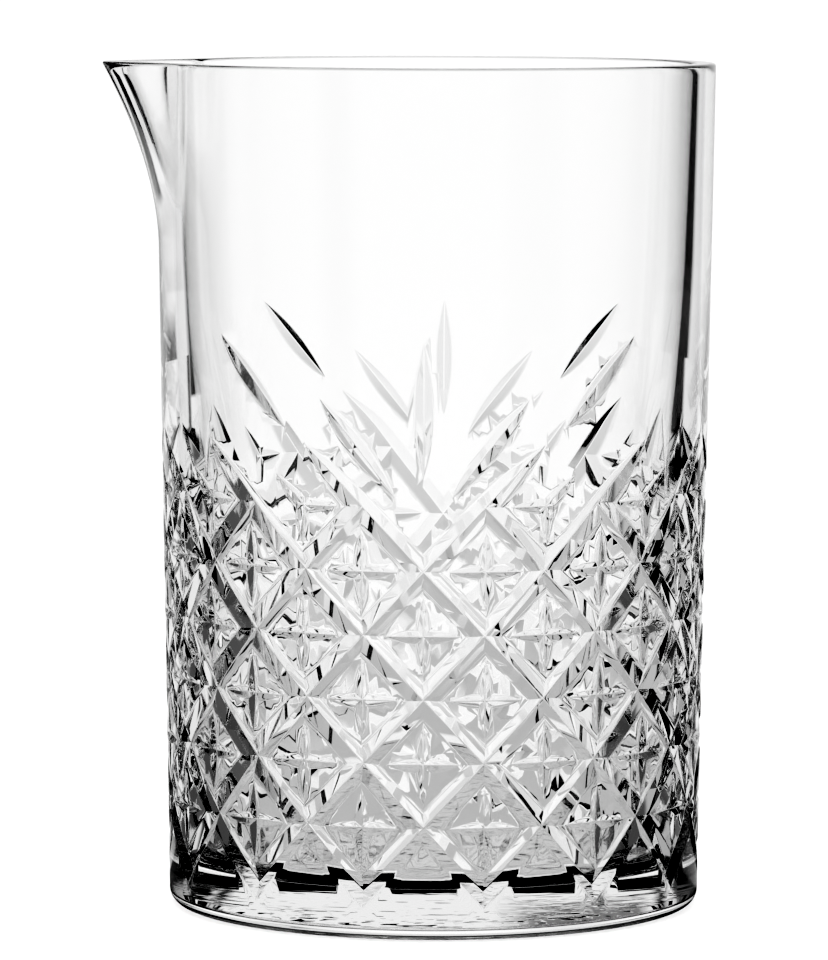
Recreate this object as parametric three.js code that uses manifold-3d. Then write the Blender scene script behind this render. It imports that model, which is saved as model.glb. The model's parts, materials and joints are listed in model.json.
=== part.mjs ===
// A mixing jug of clear pressed glass: one piece, with a thick base, a pulled pouring spout and a band of
// cross-cut diamonds that ends in fans of leaf cuts. Millimetres, +Z up. The origin is on the jug's axis, in
// the plane of the base. The spout points along -X, and the middles of the two fans face -Y and +Y.
import * as THREE from "three";
import { mergeVertices } from "three/addons/utils/BufferGeometryUtils.js";
import Module from "manifold-3d";

const wasm = await Module();
wasm.setup();

// Outside of the jug
const height = 150;
const rimRadius = 49.7; // outer radius at the rim
const wallTaper = 2.5; // how far the outer wall draws in on its way from the rim to the base plane
const heelInset = 2.4; // from the tapering wall in to the edge of the flat that the jug stands on
const heelHeight = 3.2; // the rounded heel ends this far up the wall

// Inside of the jug
const rimWall = 3.9; // glass thickness just under the rim
const rimRound = 0.65; // radius on both edges of the rim
const neckWall = 4.8; // glass thickness at the neck, where the inner wall starts to draw in
const neckHeight = 103;
const bandWall = 6.8; // glass thickness that the wall draws in to behind the cut band
const bandHeight = 77; // and how high up that is
const floorWall = 6.9; // glass thickness at the foot of the inner wall
const floorThickness = 8;
const floorCorner = 4.5; // radius between the inner wall and the floor

// Pouring spout
const spoutReach = 9.8; // how far the lip stands out from the round rim
const spoutDrop = 32; // the spout starts to leave the wall this far below the rim
const spoutHalfAngle = 25; // degrees of the rim, on each side of the spout's middle
const spoutRise = 1.75; // power of the curve that the spout's profile follows

// Cut band: a lattice of V grooves. Row 0 is its top row of crossings, and the last row holds the V tips.
const columns = 28; // half diamonds round the jug
const rows = 6;
const rowPitch = 11.1; // half the height of a diamond
const tipHeight = 8.5; // the V tips of the last row, above the base
const grooveHalfWidth = 2.1;
const grooveDepth = 1.15;
const grooveTip = 14.8; // run-out of a groove past the top row, along the groove

// Cross cut on each diamond: an upright and a level V cut, deepest in the middle
const crossHalfWidth = 1.2;
const crossDepth = 0.7;
const crossEndGap = 4.3; // from the end of a cross cut to the crossing of the grooves
const openArm = 7.4; // slanting arm of the cross on a diamond at the top of the band

// Fans of leaf cuts above the band, one on each side of the jug
const fans = 2;
const leafHalfWidth = 1.6;
const leafDepth = 1;
const leaves = [
  // ends of each leaf: distance to the side of the fan's middle, and height above the top row of crossings
  { from: [0, 5], to: [0, 28.3] },
  { from: [4.8, 1.6], to: [18.2, 18.6] },
  { from: [24.6, 13], to: [39.2, 28.7] },
];

// Fineness of the mesh
const segments = 2 * columns; // flats round the jug
const spoutRings = 5;
const arcSteps = 3;

const glass = new THREE.MeshStandardMaterial({
  name: "clear_glass",
  color: 0xf4f7f6,
  roughness: 0.02,
  metalness: 0,
  transparent: true,
  opacity: 0.35,
});

// The outer wall is a straight taper.
const outerRadius = (z) => rimRadius - (wallTaper * (height - z)) / height;
const rowHeight = (row) => tipHeight + (rows - row) * rowPitch;
const bandTop = rowHeight(0) + grooveTip * Math.SQRT1_2;
const bandRadius = outerRadius((bandTop + tipHeight) / 2); // where the pattern is drawn at its true size
const columnPitch = (2 * Math.PI * bandRadius) / columns;

// Half the section of the jug as [radius, height] points, from the middle of the base, up the outside, over
// the rim and down the inside to the middle of the floor.
function jugSection() {
  const rimEdge = height - rimRound;
  const spoutFoot = height - spoutDrop;
  const innerRadius = outerRadius(rimEdge) - rimWall;
  const neckRadius = outerRadius(neckHeight) - neckWall;
  const bandInner = outerRadius(bandHeight) - bandWall;
  const footHeight = floorThickness + floorCorner;
  const footRadius = outerRadius(footHeight) - floorWall;
  const spoutHeights = Array.from(
    { length: spoutRings + 1 },
    (_, i) => spoutFoot + ((rimEdge - spoutFoot) * i) / spoutRings,
  );
  const draw = (innerRadius - neckRadius) / (rimEdge - neckHeight);
  const innerAt = (z) => neckRadius + draw * (z - neckHeight);

  const outside = new THREE.Path()
    .moveTo(0, 0)
    .lineTo(outerRadius(0) - heelInset, 0)
    .quadraticCurveTo(outerRadius(0), 0, outerRadius(heelHeight), heelHeight);
  spoutHeights.forEach((z) => outside.lineTo(outerRadius(z), z));
  outside
    .absarc(outerRadius(rimEdge) - rimRound, rimEdge, rimRound, 0, Math.PI / 2, false)
    .absarc(innerRadius + rimRound, rimEdge, rimRound, Math.PI / 2, Math.PI, false);
  spoutHeights.reverse().forEach((z) => outside.lineTo(innerAt(z), z));
  outside
    .lineTo(neckRadius, neckHeight)
    .quadraticCurveTo(bandInner, bandHeight, footRadius, footHeight)
    .absarc(footRadius - floorCorner, footHeight, floorCorner, 0, -Math.PI / 2, true)
    .lineTo(0, floorThickness);
  return outside.getPoints(arcSteps);
}

// Pulls the rim out along -X to form the spout. Both faces of the wall move alike, so it keeps its thickness.
function pullSpout(geometry) {
  const point = new THREE.Vector3();
  const place = geometry.attributes.position;
  const halfAngle = THREE.MathUtils.degToRad(spoutHalfAngle);
  for (let i = 0; i < place.count; i++) {
    point.fromBufferAttribute(place, i);
    const climb = (point.z - height + spoutDrop) / spoutDrop;
    const angle = Math.atan2(Math.abs(point.y), -point.x);
    if (climb <= 0 || angle >= halfAngle) continue;
    const across = (1 + Math.cos((Math.PI * angle) / halfAngle)) / 2;
    place.setX(i, point.x - spoutReach * across * climb ** spoutRise);
  }
  return geometry;
}

// Lays a flat drawing on the outer wall. u runs round the jug from the middle of the front, v is the height
// and w stands out from the wall.
function onWall(u, v, w) {
  const angle = u / bandRadius;
  const radius = outerRadius(v) + w;
  return new THREE.Vector3(radius * Math.sin(angle), -radius * Math.cos(angle), v);
}

// A V cut along a line of stations {u, v, depth}. halfWidth is the cut's half width where its depth is
// fullDepth. Where the depth falls to 0, the cut runs out at a point on the wall.
function vCut(stations, halfWidth, fullDepth) {
  const proud = fullDepth; // the cutter stands this far out of the wall
  const slope = halfWidth / fullDepth;
  const section = new THREE.Shape([
    new THREE.Vector2(0, 0),
    new THREE.Vector2(slope * (fullDepth + proud), fullDepth + proud),
    new THREE.Vector2(-slope * (fullDepth + proud), fullDepth + proud),
  ]);
  const steps = stations.length - 1;
  const geometry = new THREE.ExtrudeGeometry(section, { depth: steps, steps, bevelEnabled: false });
  const place = geometry.attributes.position;
  for (let i = 0; i < place.count; i++) {
    const k = Math.round(place.getZ(i));
    const across = sideways(stations, k).multiplyScalar(place.getX(i));
    const { u, v, depth } = stations[k];
    const spot = onWall(u + across.x, v + across.y, place.getY(i) - depth);
    place.setXYZ(i, spot.x, spot.y, spot.z);
  }
  return geometry;
}

// The direction across a line of stations at station k, lengthened at a corner so that the sides meet there.
function sideways(stations, k) {
  const here = stations[k];
  const before = stations[Math.max(k - 1, 0)];
  const after = stations[Math.min(k + 1, stations.length - 1)];
  const unit = (a, b) => new THREE.Vector2(b.u - a.u, b.v - a.v).normalize();
  const into = before === here ? unit(here, after) : unit(before, here);
  const out = after === here ? into : unit(here, after);
  const mitre = into.clone().add(out).normalize();
  const across = new THREE.Vector2(-mitre.y, mitre.x);
  return across.divideScalar(mitre.dot(into));
}

// A leaf cut between two flat points: deepest in the middle and pointed at both ends.
function leafCut(from, to, halfWidth, fullDepth) {
  const halfSteps = 2;
  const stations = [];
  for (let i = -halfSteps; i <= halfSteps; i++) {
    const share = i / halfSteps;
    stations.push({
      u: THREE.MathUtils.lerp(from[0], to[0], (1 + share) / 2),
      v: THREE.MathUtils.lerp(from[1], to[1], (1 + share) / 2),
      depth: fullDepth * (1 - share ** 2),
    });
  }
  return vCut(stations, halfWidth, fullDepth);
}

// Columns from the nearest fan's middle to a column, from minus half a fan's share to plus half of it.
function fromFan(column) {
  const share = columns / fans;
  return column - share * Math.round(column / share);
}

// One V of grooves: from its tip in the last row, an arm climbs to each side up to the top row. An arm that
// leans away from the nearest fan's middle runs on past the top row and out to a point.
function grooveCut(tipColumn) {
  const armSteps = rows;
  const arm = (side) => {
    const stations = [];
    for (let i = 1; i <= armSteps; i++) {
      const climb = (rows * i) / armSteps;
      stations.push({
        u: (tipColumn + side * climb) * columnPitch,
        v: rowHeight(rows - climb),
        depth: grooveDepth,
      });
    }
    const top = tipColumn + side * rows;
    const offset = fromFan(top);
    if (offset * side > 0 || Math.abs(offset) === columns / fans / 2) {
      const reach = grooveTip / Math.hypot(columnPitch, rowPitch);
      for (const share of [0.6, 1]) {
        stations.push({
          u: (top + side * reach * share) * columnPitch,
          v: rowHeight(0) + reach * share * rowPitch,
          depth: grooveDepth * (1 - share ** 2),
        });
      }
    }
    return stations;
  };
  const tip = { u: tipColumn * columnPitch, v: rowHeight(rows), depth: grooveDepth };
  return vCut([...arm(-1).reverse(), tip, ...arm(1)], grooveHalfWidth, grooveDepth);
}

// A star of V cuts that meet in the middle of a diamond, where they are deepest. Each arm is given by its run
// to its point, as [u, v], and they go clockwise as seen from outside.
function starCut(u, v, arms) {
  const proud = crossDepth; // the cutter stands this far out of the wall
  const spread = (crossDepth + proud) / crossDepth;
  const outline = arms.flatMap((run, i) => {
    const next = arms[(i + 1) % arms.length];
    const notch = new THREE.Vector2(...run).normalize().add(new THREE.Vector2(...next).normalize());
    return [new THREE.Vector2(...run), notch.setLength(crossHalfWidth * Math.SQRT2)];
  });
  const geometry = new THREE.ConeGeometry(1, 1, outline.length);
  const place = geometry.attributes.position;
  for (let i = 0; i < place.count; i++) {
    const [x, y, z] = [place.getX(i), place.getY(i), place.getZ(i)];
    const corner = Math.round((Math.atan2(x, z) / (2 * Math.PI)) * outline.length);
    const rim = Math.hypot(x, z) > 0.5 ? outline.at(corner % outline.length) : new THREE.Vector2();
    const spot = onWall(u + rim.x * spread, v + rim.y * spread, y > 0 ? -crossDepth : proud);
    place.setXYZ(i, spot.x, spot.y, spot.z);
  }
  return geometry;
}

// The four-armed cross on a whole diamond.
function crossCut(column, row) {
  const level = columnPitch - crossEndGap;
  const upright = rowPitch - crossEndGap;
  const arms = [[0, upright], [level, 0], [0, -upright], [-level, 0]];
  return starCut(column * columnPitch, rowHeight(row), arms);
}

// The three-armed cross on a diamond that the top of the band leaves open: one arm down, one towards the fan
// and one away from it, up into the open corner.
function openCrossCut(column) {
  const side = Math.sign(fromFan(column));
  const level = columnPitch - crossEndGap;
  const upright = rowPitch - crossEndGap;
  const open = [side * openArm * Math.SQRT1_2, openArm * Math.SQRT1_2];
  const arms = side > 0 ? [open, [0, -upright], [-level, 0]] : [[level, 0], [0, -upright], open];
  return starCut(column * columnPitch, rowHeight(0), arms);
}

// The leaves of one fan, on both sides of its middle.
function fanCuts(column) {
  const middle = column * columnPitch;
  return leaves.flatMap(({ from, to }) => {
    const sides = to[0] === 0 ? [1] : [-1, 1];
    return sides.map((side) =>
      leafCut(
        [middle + side * from[0], rowHeight(0) + from[1]],
        [middle + side * to[0], rowHeight(0) + to[1]],
        leafHalfWidth,
        leafDepth,
      ),
    );
  });
}

// Every cut of the band. A crossing lies on each odd column of the top row and of every second row below it.
function bandCuts() {
  const cuts = [];
  for (let column = 0; column < columns; column++) {
    const odd = column % 2;
    if ((column + rows) % 2) cuts.push(grooveCut(column));
    for (let row = 1; row < rows; row++) {
      if (row % 2 === odd) cuts.push(crossCut(column, row));
    }
    if (!odd && fromFan(column) === 0) cuts.push(...fanCuts(column));
    if (!odd && fromFan(column) !== 0) cuts.push(openCrossCut(column));
  }
  return cuts;
}

// A closed geometry as a solid, and back.
function solidOf(geometry) {
  const bare = new THREE.BufferGeometry().setAttribute("position", geometry.getAttribute("position"));
  if (geometry.index) bare.setIndex(geometry.index);
  const merged = mergeVertices(bare, 1e-4);
  return new wasm.Manifold(
    new wasm.Mesh({
      numProp: 3,
      vertProperties: merged.attributes.position.array,
      triVerts: new Uint32Array(merged.index.array),
    }),
  );
}

function geometryOf(solid) {
  const mesh = solid.getMesh();
  const geometry = new THREE.BufferGeometry();
  geometry.setAttribute("position", new THREE.BufferAttribute(mesh.vertProperties, 3));
  geometry.setIndex(new THREE.BufferAttribute(mesh.triVerts, 1));
  geometry.computeVertexNormals();
  return geometry;
}

// The glass jug: a turned blank with its spout pulled, then cut.
function jugGlass() {
  const blank = pullSpout(new THREE.LatheGeometry(jugSection(), segments).rotateX(Math.PI / 2));
  let solid = solidOf(blank);
  for (const cut of bandCuts()) solid = solid.subtract(solidOf(cut));
  const mesh = new THREE.Mesh(geometryOf(solid), glass);
  mesh.name = "glass_jug";
  return mesh;
}

const mixingJug = new THREE.Group();
mixingJug.name = "mixing_jug";
mixingJug.add(jugGlass());

export default mixingJug;
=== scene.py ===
import json
import math

import bmesh
import bpy
from mathutils import Matrix, Vector

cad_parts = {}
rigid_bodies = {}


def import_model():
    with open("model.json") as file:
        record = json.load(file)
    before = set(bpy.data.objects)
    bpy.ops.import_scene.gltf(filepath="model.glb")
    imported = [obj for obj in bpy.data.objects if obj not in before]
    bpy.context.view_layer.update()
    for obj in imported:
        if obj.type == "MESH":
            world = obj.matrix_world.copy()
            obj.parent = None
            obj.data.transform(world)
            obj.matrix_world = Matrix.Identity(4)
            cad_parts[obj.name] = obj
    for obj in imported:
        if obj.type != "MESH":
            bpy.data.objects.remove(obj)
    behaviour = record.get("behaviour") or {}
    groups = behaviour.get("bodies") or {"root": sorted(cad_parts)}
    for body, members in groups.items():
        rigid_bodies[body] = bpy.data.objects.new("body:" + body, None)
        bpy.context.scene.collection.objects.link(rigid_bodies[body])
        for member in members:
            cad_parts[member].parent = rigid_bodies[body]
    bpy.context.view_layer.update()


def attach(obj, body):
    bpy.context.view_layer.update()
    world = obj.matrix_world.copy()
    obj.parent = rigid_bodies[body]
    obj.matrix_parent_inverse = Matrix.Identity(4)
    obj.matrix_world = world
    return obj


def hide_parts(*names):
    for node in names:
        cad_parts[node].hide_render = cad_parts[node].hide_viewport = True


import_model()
mm = 0.001

# The glass blank before it is cut: a turned section and a pulled spout
blank = {
    "height": 150 * mm,
    "rimRadius": 49.7 * mm,
    "heelRadius": 47.2 * mm,  # where the tapering wall would meet the base plane
    "heelRound": 2.6 * mm,
    "rimWall": 3.9 * mm,
    "rimRound": 0.65 * mm,
    "neckInside": (44.1 * mm, 103 * mm),  # radius and height where the inner wall starts to thicken
    "bandInside": (41.7 * mm, 77 * mm),  # radius and height where it has thickened
    "insideRound": 12 * mm,  # softens the bends of the inner wall at those two heights
    "floorInside": 40.4 * mm,
    "floorHeight": 8 * mm,
    "floorRound": 4.5 * mm,
    "spoutReach": 9.8 * mm,
    "spoutDrop": 32 * mm,
    "spoutHalfAngle": math.radians(25),
    "spoutRise": 1.75,  # power of the curve that its profile follows
    "spoutRings": 17,
    "wallRings": 35,
    "steps": 224,  # round the jug
    "weld": 1e-6,
}

# The cut band, drawn flat: u round the jug from the middle of the front, v up from the base
band = {
    "columns": 28,
    "rows": 6,
    "rowPitch": 11.1 * mm,
    "tipHeight": 8.5 * mm,
    "grooveHalfWidth": 2.1 * mm,
    "grooveDepth": 1.15 * mm,
    "grooveTip": 14.8 * mm,
    "crossHalfWidth": 1.2 * mm,
    "crossDepth": 0.7 * mm,
    "crossEndGap": 4.3 * mm,
    "openArm": 7.4 * mm,
    "leafHalfWidth": 1.6 * mm,
    "leafDepth": 0.98 * mm,
    "leaves": [  # ends of each leaf: to the side of the fan's middle, and above the top row
        ((0, 5 * mm), (0, 28.3 * mm)),
        ((4.8 * mm, 1.6 * mm), (18.2 * mm, 18.6 * mm)),
        ((24.6 * mm, 13 * mm), (39.2 * mm, 28.7 * mm)),
    ],
    "fans": 2,
    "softness": 0.3 * mm,  # radius in the bottom of a cut
    "shoulder": 0.35 * mm,  # how far the rounding of a cut's edge reaches on each side
    "softShare": 0.35,  # how much of a shallow cut the two roundings may take up
    "shoulderShares": (1, 0.7, 0.4),  # points on the rounded edge, as shares of its turn
    "leastDepth": 0.05 * mm,  # the profile stays as deep as this where a cut runs out
    "cutterClear": 0.06 * mm,  # the edge of the cutter runs on to this height over the wall
    "cutterTop": (0.3 * mm, 1.2 * mm),  # then it widens by this much, up to this height
    "grooveSteps": 6,  # along a groove, in each column
    "grooveTipSteps": 16,
    "crossSteps": 10,
    "leafSteps": 32,
    "sliver": 1e-7,  # edges shorter than this go after the cutting
    "smoothAngle": math.radians(19),
}


def outerRadius(z):
    return blank["heelRadius"] + (blank["rimRadius"] - blank["heelRadius"]) * z / blank["height"]


def rowHeight(row):
    return band["tipHeight"] + (band["rows"] - row) * band["rowPitch"]


bandRadius = outerRadius(rowHeight(band["rows"] / 2))
columnPitch = 2 * math.pi * bandRadius / band["columns"]


def onWall(u, v, w):
    angle = u / bandRadius
    radius = outerRadius(v) + w
    return Vector((radius * math.sin(angle), -radius * math.cos(angle), v))


def meshObject(bm, name, collection):
    mesh = bpy.data.meshes.new(name)
    bm.to_mesh(mesh)
    bm.free()
    obj = bpy.data.objects.new(name, mesh)
    collection.objects.link(obj)
    return obj


def turnBlank():
    b = blank
    spoutFoot = b["height"] - b["spoutDrop"]
    rimInside = b["rimRadius"] - b["rimWall"]
    neck, neckHeight = b["neckInside"]
    spoutInside = neck + (rimInside - neck) * (spoutFoot - neckHeight) / (b["height"] - neckHeight)
    bm = bmesh.new()
    corners = [
        (0, 0),
        (outerRadius(0), 0),
        (outerRadius(spoutFoot), spoutFoot),
        (b["rimRadius"], b["height"]),
        (rimInside, b["height"]),
        (spoutInside, spoutFoot),
        b["neckInside"],
        b["bandInside"],
        (b["floorInside"], b["floorHeight"]),
        (0, b["floorHeight"]),
    ]
    verts = [bm.verts.new((r, 0, z)) for r, z in corners]
    walls = [bm.edges.new(pair) for pair in zip(verts, verts[1:])]
    bmesh.ops.subdivide_edges(bm, edges=[walls[2], walls[4]], cuts=b["spoutRings"])
    bmesh.ops.subdivide_edges(bm, edges=[walls[1]], cuts=b["wallRings"])
    rounds = [  # corner, offset, segments
        (1, b["heelRound"], 10),
        (3, b["rimRound"], 6),
        (4, b["rimRound"], 6),
        (6, b["insideRound"], 10),
        (7, b["insideRound"], 10),
        (8, b["floorRound"], 16),
    ]
    for corner, offset, segments in rounds:
        spot = Vector((corners[corner][0], 0, corners[corner][1]))
        nearest = min(bm.verts, key=lambda vert: (vert.co - spot).length)
        bmesh.ops.bevel(bm, geom=[nearest], offset=offset, offset_type="OFFSET", affect="VERTICES",
                        segments=segments, profile=0.5, material=-1)
    bmesh.ops.spin(bm, geom=bm.verts[:] + bm.edges[:], cent=(0, 0, 0), axis=(0, 0, 1),
                   angle=2 * math.pi, steps=b["steps"], use_merge=True)
    bmesh.ops.remove_doubles(bm, verts=bm.verts, dist=b["weld"])
    bmesh.ops.recalc_face_normals(bm, faces=bm.faces)
    for vert in bm.verts:  # pull the spout along -X
        climb = (vert.co.z - spoutFoot) / b["spoutDrop"]
        angle = math.atan2(abs(vert.co.y), -vert.co.x)
        if climb > 0 and angle < b["spoutHalfAngle"]:
            across = (1 + math.cos(math.pi * angle / b["spoutHalfAngle"])) / 2
            vert.co.x -= b["spoutReach"] * across * climb ** b["spoutRise"]
    return bm


def sideways(stations, k):
    # across the line of stations at station k, longer at a corner so that the sides of a cut meet there
    here = Vector(stations[k][:2])
    before = Vector(stations[max(k - 1, 0)][:2])
    after = Vector(stations[min(k + 1, len(stations) - 1)][:2])
    into = (here - before).normalized() if k else (after - here).normalized()
    out = (after - here).normalized() if k < len(stations) - 1 else into
    mitre = (into + out).normalized()
    return Vector((-mitre.y, mitre.x)) / mitre.dot(into)


def cutProfile(here, halfWidth, depth):
    # across a V cut of this depth: distance from its middle and height over the wall, with the bottom and
    # the shoulders soft, as pressing leaves them
    b = band
    slope = math.atan2(depth, halfWidth)
    deep = max(here, b["leastDepth"])
    r = min(b["softness"], b["softShare"] * deep * math.cos(slope) / math.sin(slope) ** 2)
    edge = min(b["shoulder"], b["softShare"] * deep / math.sin(slope))
    turn = edge / math.tan(slope / 2)
    side = []
    for share in (0.5, 1):
        side.append((r * math.sin(slope * share), r / math.cos(slope) - r * math.cos(slope * share) - deep))
    for share in b["shoulderShares"]:
        across = deep / math.tan(slope) + edge - turn * math.sin(slope * share)
        side.append((across, turn * math.cos(slope * share) - turn))
    clear = b["cutterClear"]
    wider, top = b["cutterTop"]
    across, w = side[-1]
    across += (clear - w) / math.tan(slope * b["shoulderShares"][-1])
    side += [(across, clear), (across + wider, top)]
    middle = (0, r / math.cos(slope) - r - deep)
    whole = [(-x, w) for x, w in reversed(side)] + [middle] + side
    return [(x, w + deep - here) for x, w in whole]


def addCut(bm, stations, halfWidth, depth):
    # one V cut along stations (u, v, depth), lying on the wall
    profiles = [cutProfile(here, halfWidth, depth) for u, v, here in stations]
    cut = bmesh.new()
    corner = cut.verts.layers.int.new("corner")
    ring = [cut.verts.new((x, w, 0)) for x, w in cutProfile(depth, halfWidth, depth)]
    for number, vert in enumerate(ring):
        vert[corner] = number
    face = cut.faces.new(ring)
    bmesh.ops.spin(cut, geom=[face], cent=(0, 0, 0), axis=(0, 0, 1), dvec=(0, 0, 1),
                   angle=0, steps=len(stations) - 1)
    for vert in cut.verts:
        k = round(vert.co.z)
        x, w = profiles[k][vert[corner]]
        across = sideways(stations, k) * x
        vert.co = onWall(stations[k][0] + across.x, stations[k][1] + across.y, w)
    cut.verts.layers.int.remove(corner)
    mesh = bpy.data.meshes.new("cut")
    cut.to_mesh(mesh)
    cut.free()
    bm.from_mesh(mesh)
    bpy.data.meshes.remove(mesh)


def cutterObject(bm, name, collection):
    if bm.calc_volume(signed=True) < 0:
        bmesh.ops.reverse_faces(bm, faces=bm.faces)
    return meshObject(bm, name, collection)


def leafStations(start, end, depth, steps):
    # along a cut that is deepest in the middle and pointed at both ends
    stations = []
    for i in range(steps + 1):
        s = i / steps
        u = start[0] + (end[0] - start[0]) * s
        v = start[1] + (end[1] - start[1]) * s
        stations.append((u, v, depth * (1 - (2 * s - 1) ** 2)))
    return stations


def fromFan(column):
    # columns from the middle of the nearest fan
    share = band["columns"] / band["fans"]
    return column - share * round(column / share)


def grooveStations(tipColumn):
    # along one V of grooves, up both its arms from the tip; an arm that leans away from the nearest fan
    # runs on past the top row and out to a point
    rows = band["rows"]
    depth = band["grooveDepth"]

    def arm(side):
        stations = []
        for i in range(1, rows * band["grooveSteps"] + 1):
            climb = i / band["grooveSteps"]
            stations.append(((tipColumn + side * climb) * columnPitch, rowHeight(rows - climb), depth))
        top = tipColumn + side * rows
        offset = fromFan(top)
        if offset * side > 0 or abs(offset) == band["columns"] / band["fans"] / 2:
            reach = band["grooveTip"] / math.hypot(columnPitch, band["rowPitch"])
            for i in range(1, band["grooveTipSteps"] + 1):
                s = i / band["grooveTipSteps"]
                u = (top + side * reach * s) * columnPitch
                v = rowHeight(0) + reach * s * band["rowPitch"]
                stations.append((u, v, depth * (1 - s ** 2)))
        return stations

    tip = (tipColumn * columnPitch, rowHeight(rows), depth)
    return arm(-1)[::-1] + [tip] + arm(1)


def makeCutters(collection):
    b = band
    level = columnPitch - b["crossEndGap"]
    upright = b["rowPitch"] - b["crossEndGap"]
    slant = b["openArm"] * math.sqrt(0.5)
    justBeforeMiddle = b["crossSteps"] // 2 - 1
    levelCuts, uprightCuts, leafCuts = bmesh.new(), bmesh.new(), bmesh.new()

    def cross(bm, start, end):
        stations = leafStations(start, end, b["crossDepth"], b["crossSteps"])
        addCut(bm, stations, b["crossHalfWidth"], b["crossDepth"])

    def halfCross(bm, u, v, du, dv):  # an arm that is deepest at the middle of its cross
        stations = leafStations((u - du, v - dv), (u + du, v + dv), b["crossDepth"], b["crossSteps"])
        addCut(bm, stations[justBeforeMiddle:], b["crossHalfWidth"], b["crossDepth"])

    for column in range(b["columns"]):
        u = column * columnPitch
        odd = column % 2
        if (column + b["rows"]) % 2:
            groove = bmesh.new()
            addCut(groove, grooveStations(column), b["grooveHalfWidth"], b["grooveDepth"])
            cutterObject(groove, f"groove{column}", collection)
        for row in range(1, b["rows"]):
            if row % 2 == odd:
                v = rowHeight(row)
                cross(levelCuts, (u - level, v), (u + level, v))
                cross(uprightCuts, (u, v - upright), (u, v + upright))
        if odd:
            continue
        v = rowHeight(0)
        side = fromFan(column)
        if side:
            side /= abs(side)
            halfCross(levelCuts, u, v, -side * level, 0)
            halfCross(uprightCuts, u, v, 0, -upright)
            halfCross(leafCuts, u, v, side * slant, slant)
        else:
            for start, end in b["leaves"]:
                for way in ((1, -1) if end[0] else (1,)):
                    foot = (u + way * start[0], v + start[1])
                    tip = (u + way * end[0], v + end[1])
                    stations = leafStations(foot, tip, b["leafDepth"], b["leafSteps"])
                    addCut(leafCuts, stations, b["leafHalfWidth"], b["leafDepth"])
    for name, bm in (("levelCuts", levelCuts), ("uprightCuts", uprightCuts), ("leafCuts", leafCuts)):
        cutterObject(bm, name, collection)


def cutJug():
    scene = bpy.context.scene
    jug = meshObject(turnBlank(), "jugGlass", scene.collection)
    print("blank turned:", len(jug.data.polygons), "faces")
    cutters = bpy.data.collections.new("cutters")
    scene.collection.children.link(cutters)
    makeCutters(cutters)
    cut = jug.modifiers.new("cut", "BOOLEAN")
    cut.operation = "DIFFERENCE"
    cut.solver = "MANIFOLD"
    cut.operand_type = "COLLECTION"
    cut.collection = cutters
    whole = bpy.data.meshes.new_from_object(jug.evaluated_get(bpy.context.evaluated_depsgraph_get()))
    jug.modifiers.clear()
    jug.data = whole
    for obj in list(cutters.objects):
        bpy.data.objects.remove(obj)
    bpy.data.collections.remove(cutters)
    bm = bmesh.new()
    bm.from_mesh(whole)
    bmesh.ops.dissolve_degenerate(bm, edges=bm.edges, dist=band["sliver"])
    print("open edges:", sum(not e.is_manifold for e in bm.edges))
    bm.to_mesh(whole)
    bm.free()
    for polygon in whole.polygons:
        polygon.use_smooth = True
    whole.set_sharp_from_angle(angle=band["smoothAngle"])
    whole.calc_loop_triangles()
    print("jug cut:", len(whole.loop_triangles), "triangles")
    return jug


def feed(links, sockets, values):
    # gives each socket a number, or a link from another node
    for socket, value in zip(sockets, values):
        if isinstance(value, (int, float)):
            socket.default_value = value
        else:
            links.new(value, socket)


def rangeNode(nodes, links, value, low, high, first, last):
    node = nodes.new("ShaderNodeMapRange")
    links.new(value, node.inputs["Value"])
    for name, number in (("From Min", low), ("From Max", high), ("To Min", first), ("To Max", last)):
        node.inputs[name].default_value = number
    return node.outputs["Result"]


def rampNode(nodes, links, source, stops):
    # values between stops, by the source's own units
    low, high = stops[0][0], stops[-1][0]
    ramp = nodes.new("ShaderNodeValToRGB")
    ramp.color_ramp.interpolation = "EASE"
    elements = ramp.color_ramp.elements
    inner = [elements.new((at - low) / (high - low)) for at, value in stops[1:-1]]
    for element, (at, value) in zip([elements[0], *inner, elements[-1]], stops):
        element.color = (value, value, value, 1)
    links.new(rangeNode(nodes, links, source, low, high, 0, 1), ramp.inputs["Fac"])
    return ramp.outputs["Color"]


def mathNode(nodes, links, operation, first, second=0):
    node = nodes.new("ShaderNodeMath")
    node.operation = operation
    feed(links, node.inputs, (first, second))
    return node.outputs[0]


def mixNode(nodes, links, share, first, second):
    node = nodes.new("ShaderNodeMix")
    node.data_type = "FLOAT"
    links.new(share, node.inputs[0])
    feed(links, node.inputs[2:4], (first, second))
    return node.outputs[0]


def noiseNode(nodes, links, place, scale, detail):
    node = nodes.new("ShaderNodeTexNoise")
    node.inputs["Scale"].default_value = scale
    node.inputs["Detail"].default_value = detail
    links.new(place, node.inputs["Vector"])
    return node.outputs["Fac"]


# Clear pressed glass: a faint ripple from the mould, and a wavy, lightly worn underside
glassLook = {
    "ior": 1.5,
    "rippleScale": 90,
    "rippleDetail": 1,
    "rippleHeight": 0.004,  # of bumpHeight
    "underScale": 190,
    "underDetail": 2,
    "underHeight": 0.36,  # of bumpHeight
    "bumpHeight": 1 * mm,
    "wearHeight": 0.6 * mm,  # waves and wear end this far above the base
    "wearRoughness": 0.06,
    "scratchScale": 700,
    "scratchDetail": 2,
}


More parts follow.
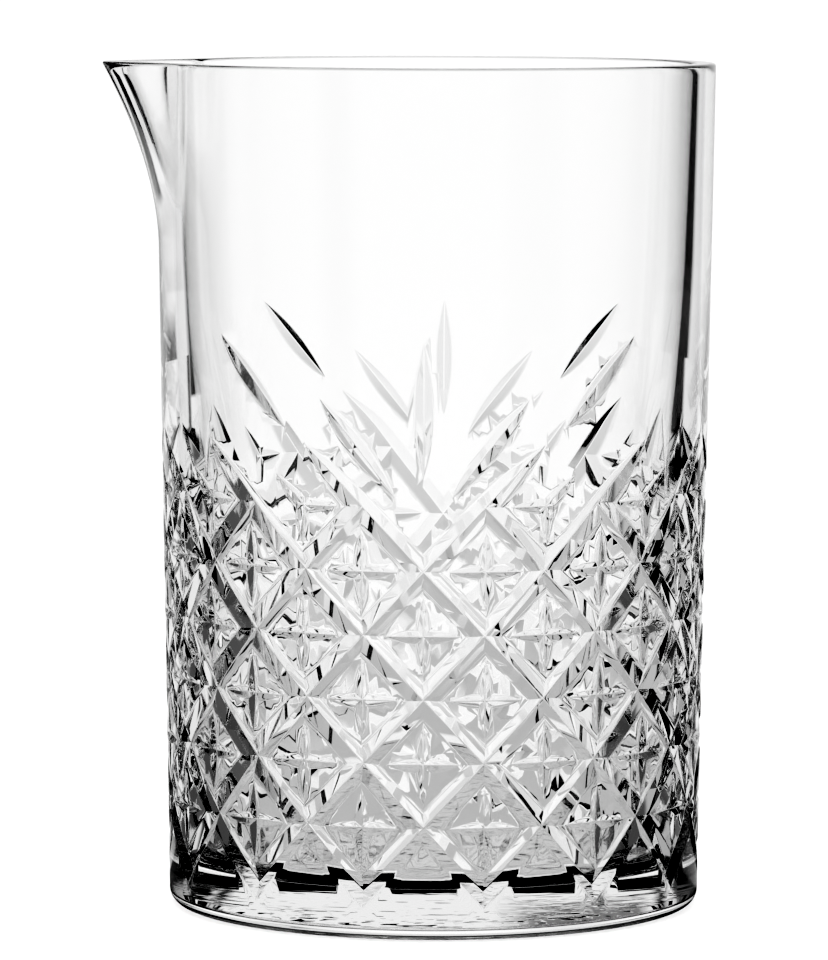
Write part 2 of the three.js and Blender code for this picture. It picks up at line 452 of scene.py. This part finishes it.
def clearGlass():
    look = glassLook
    material = bpy.data.materials.new("clearGlass")
    material.use_nodes = True
    nodes, links = material.node_tree.nodes, material.node_tree.links
    glass = nodes["Principled BSDF"]
    output = nodes["Material Output"]
    glass.inputs["Base Color"].default_value = (1, 1, 1, 1)
    glass.inputs["IOR"].default_value = look["ior"]
    glass.inputs["Transmission Weight"].default_value = 1
    place = nodes.new("ShaderNodeTexCoord").outputs["Object"]
    split = nodes.new("ShaderNodeSeparateXYZ")
    links.new(place, split.inputs[0])
    ripple = noiseNode(nodes, links, place, look["rippleScale"], look["rippleDetail"])
    wall = mathNode(nodes, links, "MULTIPLY", ripple, look["rippleHeight"])
    under = noiseNode(nodes, links, place, look["underScale"], look["underDetail"])
    wavy = rangeNode(nodes, links, split.outputs["Z"], 0, look["wearHeight"], look["underHeight"], 0)
    height = mathNode(nodes, links, "ADD", mathNode(nodes, links, "MULTIPLY", under, wavy), wall)
    bump = nodes.new("ShaderNodeBump")
    bump.inputs["Strength"].default_value = 1
    bump.inputs["Distance"].default_value = look["bumpHeight"]
    links.new(height, bump.inputs["Height"])
    links.new(bump.outputs["Normal"], glass.inputs["Normal"])
    wear = rangeNode(nodes, links, split.outputs["Z"], 0, look["wearHeight"], look["wearRoughness"], 0)
    scratches = noiseNode(nodes, links, place, look["scratchScale"], look["scratchDetail"])
    links.new(mathNode(nodes, links, "MULTIPLY", wear, scratches), glass.inputs["Roughness"])
    path = nodes.new("ShaderNodeLightPath")
    clear = nodes.new("ShaderNodeBsdfTransparent")
    mix = nodes.new("ShaderNodeMixShader")
    links.new(path.outputs["Is Shadow Ray"], mix.inputs["Fac"])
    links.new(glass.outputs["BSDF"], mix.inputs[1])
    links.new(clear.outputs["BSDF"], mix.inputs[2])
    links.new(mix.outputs["Shader"], output.inputs["Surface"])
    return material


# Studio: a pale floor under a white sweep. What the glass mirrors inside its walls is the dark room round
# it, with four tall windows and two dark cards. To rays that reach it through the glass, the floor is a
# painted glow with painted shade: a painted shadow under the jug, darker sectors and a painted dark card.
# A list of pairs gives how bright things are by place: metres from the jug's axis, degrees round it from
# straight behind, or degrees up.
studio = {
    "floorRadius": 0.5,
    "floorFlats": 128,
    "floorDrop": 0.05 * mm,  # keeps the floor clear of the jug's underside
    "floorShown": (0.95, 0.95, 0.95, 1),
    "floorRoughness": 0.9,
    "floorShine": 0.1,
    # painted glow: how bright the floor looks to rays through the glass, darker near the jug and lighter
    # far out
    "floorPaintedGlowThroughGlass": [(0, 0.54), (0.1, 0.56), (0.5, 1.0)],
    "floorPaintedGlowFacing": [(0, 1.05), (0.3, 1.05), (0.5, 0.0), (1, 0.0)],  # lighter when looked down on
    # painted shadow: in mirrored light the floor is nearly black under the jug and brightens outwards
    "floorMirroredPaintedShadow": [(0, 0.02), (0.046, 0.02), (0.05, 0.2), (0.058, 0.75), (0.3, 0.9), (0.5, 0.9)],
    # painted shade: in mirrored light the floor is darker in some sectors round the jug
    "floorAroundPaintedShade": [(-180, 0.2), (-62, 0.2), (-58, 1.0), (-51, 1.0), (-49, 0.1), (-48, 0.1), (-46, 1.0),
                    (39, 1.0), (42, 0.01), (52, 0.01), (55, 0.6), (70, 0.6), (75, 0.2), (180, 0.2)],
    # painted shade: a dark card painted on the floor where mirrored rays land; no card stands there
    "floorPaintedCardShade": (  # a dark card on the floor: how far round and how far out it lies
        [(-64, 1.0), (-61, 0.0), (-51, 0.0), (-49, 1.0)],
        [(0.376, 1.0), (0.39, 0.0)],
    ),
    "sweepShown": 1.1,
    "sweeps": 8,
    "sweepTurn": 2.2,
    "sweepBright": 1.14,
    "sweepAside": [(0, 1.0), (5, 1.0), (22.5, 0.8)],
    "sweepUp": [(-90, 0.6), (-40, 0.8), (-20, 0.95), (-8, 1.0), (2, 1.0),
                (8, 0.88), (30, 0.86), (50, 0.3), (90, 0.3)],
    "windows": 4,
    "windowTurn": 6,
    "windowBright": 0.9,
    "windowHalf": [(-90, 38), (3, 38), (8, 43), (90, 43)],  # half width in degrees, by degrees up
    "windowSoft": 2,
    "windowsAround": [(-180, 0.2), (-62, 0.2), (-57, 1.0), (42, 1.0), (45, 0.05), (56, 0.05),
                      (60, 0.6), (75, 0.6), (80, 0.2), (180, 0.2)],
    "windowUp": [(-90, 0.5), (-40, 0.9), (-20, 1.0), (30, 1.0), (42, 0.0), (90, 0.0)],
    "cards": [  # two dark cards before the windows: how far round and how far up each one hides them
        (
            [(-46, 1.0), (-40, 0.3), (-18, 0.3), (-10, 1.0)],
            [(-5, 1.0), (-1, 0.0), (10, 0.0), (14, 1.0)],
        ),
        (
            [(-32, 1.0), (-28, 0.0), (-4, 0.0), (0, 1.0)],
            [(-20, 1.0), (-17, 0.0), (-10.5, 0.0), (-8.5, 1.0)],
        ),
    ],
    "mirrorKeeps": [  # how much is left, by the count of reflections inside the glass
        (1, 1.0), (2, 0.15), (3, 0.8), (4, 0.6), (5, 0.15), (6, 0.03),
    ],
    "overheadBright": 2.6,
    "overheadUp": [(-90, 0.0), (52, 0.0), (60, 1.0), (90, 1.0)],
}


def fromMiddle(nodes, links, split, count, turn):
    # degrees from the middle of the nearest of the panels that stand round the jug
    around = mathNode(nodes, links, "ARCTAN2", split.outputs["X"], split.outputs["Y"])
    turned = mathNode(nodes, links, "ADD", around, math.radians(turn))
    aside = mathNode(nodes, links, "PINGPONG", turned, math.pi / count)
    return mathNode(nodes, links, "DEGREES", aside)


def wayRound(nodes, links, split, stops):
    # by degrees round the jug from straight behind it
    around = mathNode(nodes, links, "ARCTAN2", split.outputs["X"], split.outputs["Y"])
    return rampNode(nodes, links, mathNode(nodes, links, "DEGREES", around), stops)


def mirroredRays(nodes, links, path):
    # 1 for a ray that the glass has mirrored at least once
    return mathNode(nodes, links, "GREATER_THAN", path.outputs["Glossy Depth"], 0.5)


def paleFloorPaintedGlow():
    bm = bmesh.new()
    bmesh.ops.create_circle(bm, cap_ends=True, segments=studio["floorFlats"],
                            radius=studio["floorRadius"])
    bmesh.ops.translate(bm, verts=bm.verts, vec=(0, 0, -studio["floorDrop"]))
    floor = meshObject(bm, "floor", bpy.context.scene.collection)
    material = bpy.data.materials.new("paleFloorPaintedGlow")
    material.use_nodes = True
    nodes, links = material.node_tree.nodes, material.node_tree.links
    matte = nodes["Principled BSDF"]
    matte.inputs["Base Color"].default_value = studio["floorShown"]
    matte.inputs["Roughness"].default_value = studio["floorRoughness"]
    matte.inputs["Specular IOR Level"].default_value = studio["floorShine"]
    place = nodes.new("ShaderNodeTexCoord")
    split = nodes.new("ShaderNodeSeparateXYZ")
    links.new(place.outputs["Object"], split.inputs[0])
    out = nodes.new("ShaderNodeVectorMath")
    out.operation = "LENGTH"
    links.new(place.outputs["Object"], out.inputs[0])
    # painted glow of the floor for rays through the glass: by distance from the jug, and lighter when
    # looked down on
    straight = rampNode(nodes, links, out.outputs["Value"], studio["floorPaintedGlowThroughGlass"])
    weight = nodes.new("ShaderNodeLayerWeight")
    facing = rampNode(nodes, links, weight.outputs["Facing"], studio["floorPaintedGlowFacing"])
    through = mathNode(nodes, links, "MAXIMUM", straight, facing)
    # painted shadow under the jug, seen in mirrored light
    paintedShadowUnderJug = rampNode(nodes, links, out.outputs["Value"], studio["floorMirroredPaintedShadow"])
    # painted shade: darker sectors of the floor round the jug
    around = wayRound(nodes, links, split, studio["floorAroundPaintedShade"])
    # painted shade of a dark card on the floor
    aside, outward = studio["floorPaintedCardShade"]
    cardAside = wayRound(nodes, links, split, aside)
    cardOut = rampNode(nodes, links, out.outputs["Value"], outward)
    clear = mathNode(nodes, links, "MAXIMUM", cardAside, cardOut)
    # painted shade for mirrored rays: the painted shadow under the jug, the darker sectors and the painted
    # card
    lit = mathNode(nodes, links, "MULTIPLY", mathNode(nodes, links, "MULTIPLY", paintedShadowUnderJug, around), clear)
    # camera rays see the matte pale floor; every other ray sees an Emission of painted glow and painted
    # shade in place of the lit floor
    path = nodes.new("ShaderNodeLightPath")
    paintedGlow = nodes.new("ShaderNodeEmission")
    mirrored = mirroredRays(nodes, links, path)
    links.new(mixNode(nodes, links, mirrored, through, lit), paintedGlow.inputs["Strength"])
    shown = nodes.new("ShaderNodeMixShader")
    links.new(path.outputs["Is Camera Ray"], shown.inputs["Fac"])
    links.new(paintedGlow.outputs["Emission"], shown.inputs[1])
    links.new(matte.outputs["BSDF"], shown.inputs[2])
    links.new(shown.outputs["Shader"], nodes["Material Output"].inputs["Surface"])
    floor.data.materials.append(material)


def studioLight():
    world = bpy.data.worlds.new("studio")
    bpy.context.scene.world = world
    world.use_nodes = True
    nodes, links = world.node_tree.nodes, world.node_tree.links
    back = nodes["Background"]
    way = nodes.new("ShaderNodeTexCoord")
    split = nodes.new("ShaderNodeSeparateXYZ")
    links.new(way.outputs["Generated"], split.inputs[0])
    climb = mathNode(nodes, links, "DEGREES", mathNode(nodes, links, "ARCSINE", split.outputs["Z"]))

    def up(stops):
        return rampNode(nodes, links, climb, stops)

    def product(*values):
        result = values[0]
        for value in values[1:]:
            result = mathNode(nodes, links, "MULTIPLY", result, value)
        return result

    aside = fromMiddle(nodes, links, split, studio["sweeps"], studio["sweepTurn"])
    sheet = rampNode(nodes, links, aside, studio["sweepAside"])
    sweep = product(sheet, up(studio["sweepUp"]), studio["sweepBright"])
    window = fromMiddle(nodes, links, split, studio["windows"], studio["windowTurn"])
    past = mathNode(nodes, links, "SUBTRACT", window, up(studio["windowHalf"]))
    pane = rangeNode(nodes, links, past, -studio["windowSoft"], studio["windowSoft"], 1, 0)
    path = nodes.new("ShaderNodeLightPath")
    kept = rampNode(nodes, links, path.outputs["Glossy Depth"], studio["mirrorKeeps"])
    around = wayRound(nodes, links, split, studio["windowsAround"])
    windows = product(pane, around, up(studio["windowUp"]), studio["windowBright"], kept)
    for cardAside, cardUp in studio["cards"]:
        clear = mathNode(nodes, links, "MAXIMUM", wayRound(nodes, links, split, cardAside), up(cardUp))
        windows = product(windows, clear)
    overhead = product(up(studio["overheadUp"]), studio["overheadBright"])
    mirrored = mirroredRays(nodes, links, path)
    light = mixNode(nodes, links, mirrored, mathNode(nodes, links, "ADD", sweep, overhead), windows)
    shown = mixNode(nodes, links, path.outputs["Is Camera Ray"], light, studio["sweepShown"])
    links.new(shown, back.inputs["Strength"])
    back.inputs["Color"].default_value = (1, 1, 1, 1)


# Camera as read from the photograph
camera = {
    "distance": 1.105,
    "height": 0.1759,
    "azimuth": math.radians(2.2),
    "pitch": math.radians(5.19),
    "yaw": math.radians(-0.19),
    "roll": math.radians(0.15),
    "lens": 233.2,
    "sensor": 36,
    "clipStart": 0.01,
}


def placeCamera():
    c = camera
    data = bpy.data.cameras.new("camera")
    data.sensor_fit = "AUTO"
    data.sensor_width = c["sensor"]
    data.lens = c["lens"]
    data.clip_start = c["clipStart"]
    obj = bpy.data.objects.new("camera", data)
    bpy.context.scene.collection.objects.link(obj)
    level = math.cos(c["pitch"])
    ahead = Vector((math.sin(c["yaw"]) * level, math.cos(c["yaw"]) * level, -math.sin(c["pitch"])))
    right = Vector((math.cos(c["yaw"]), -math.sin(c["yaw"]), 0))
    up = right.cross(ahead)
    rolledRight = right * math.cos(c["roll"]) + up * math.sin(c["roll"])
    rolledUp = -right * math.sin(c["roll"]) + up * math.cos(c["roll"])
    turn = Matrix((rolledRight, rolledUp, -ahead)).transposed().to_4x4()
    spot = Matrix.Translation((0, -c["distance"], c["height"]))
    obj.matrix_world = Matrix.Rotation(c["azimuth"], 4, "Z") @ spot @ turn
    bpy.context.scene.camera = obj


# Print: deep shadows, and enough bounces for light that crosses many faces of the glass
picture = {
    "tones": [(0.1, 0.012), (0.2, 0.1), (0.35, 0.31), (0.55, 0.54)],  # as lit, and as printed
    "bounces": 32,
    "mirrorBounces": 16,
}


def printPicture():
    scene = bpy.context.scene
    scene.view_settings.view_transform = "Standard"
    scene.view_settings.use_curve_mapping = True
    mapping = scene.view_settings.curve_mapping
    combined = mapping.curves[3]
    for lit, printed in picture["tones"]:
        combined.points.new(lit, printed)
    mapping.update()
    scene.cycles.max_bounces = picture["bounces"]
    scene.cycles.transmission_bounces = picture["bounces"]
    scene.cycles.transparent_max_bounces = picture["bounces"]
    scene.cycles.glossy_bounces = picture["mirrorBounces"]


placeCamera()
studioLight()
paleFloorPaintedGlow()
printPicture()
print("studio ready")
jugGlass = cutJug()
jugGlass.data.materials.clear()
jugGlass.data.materials.append(clearGlass())
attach(jugGlass, "root")
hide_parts("glass_jug")
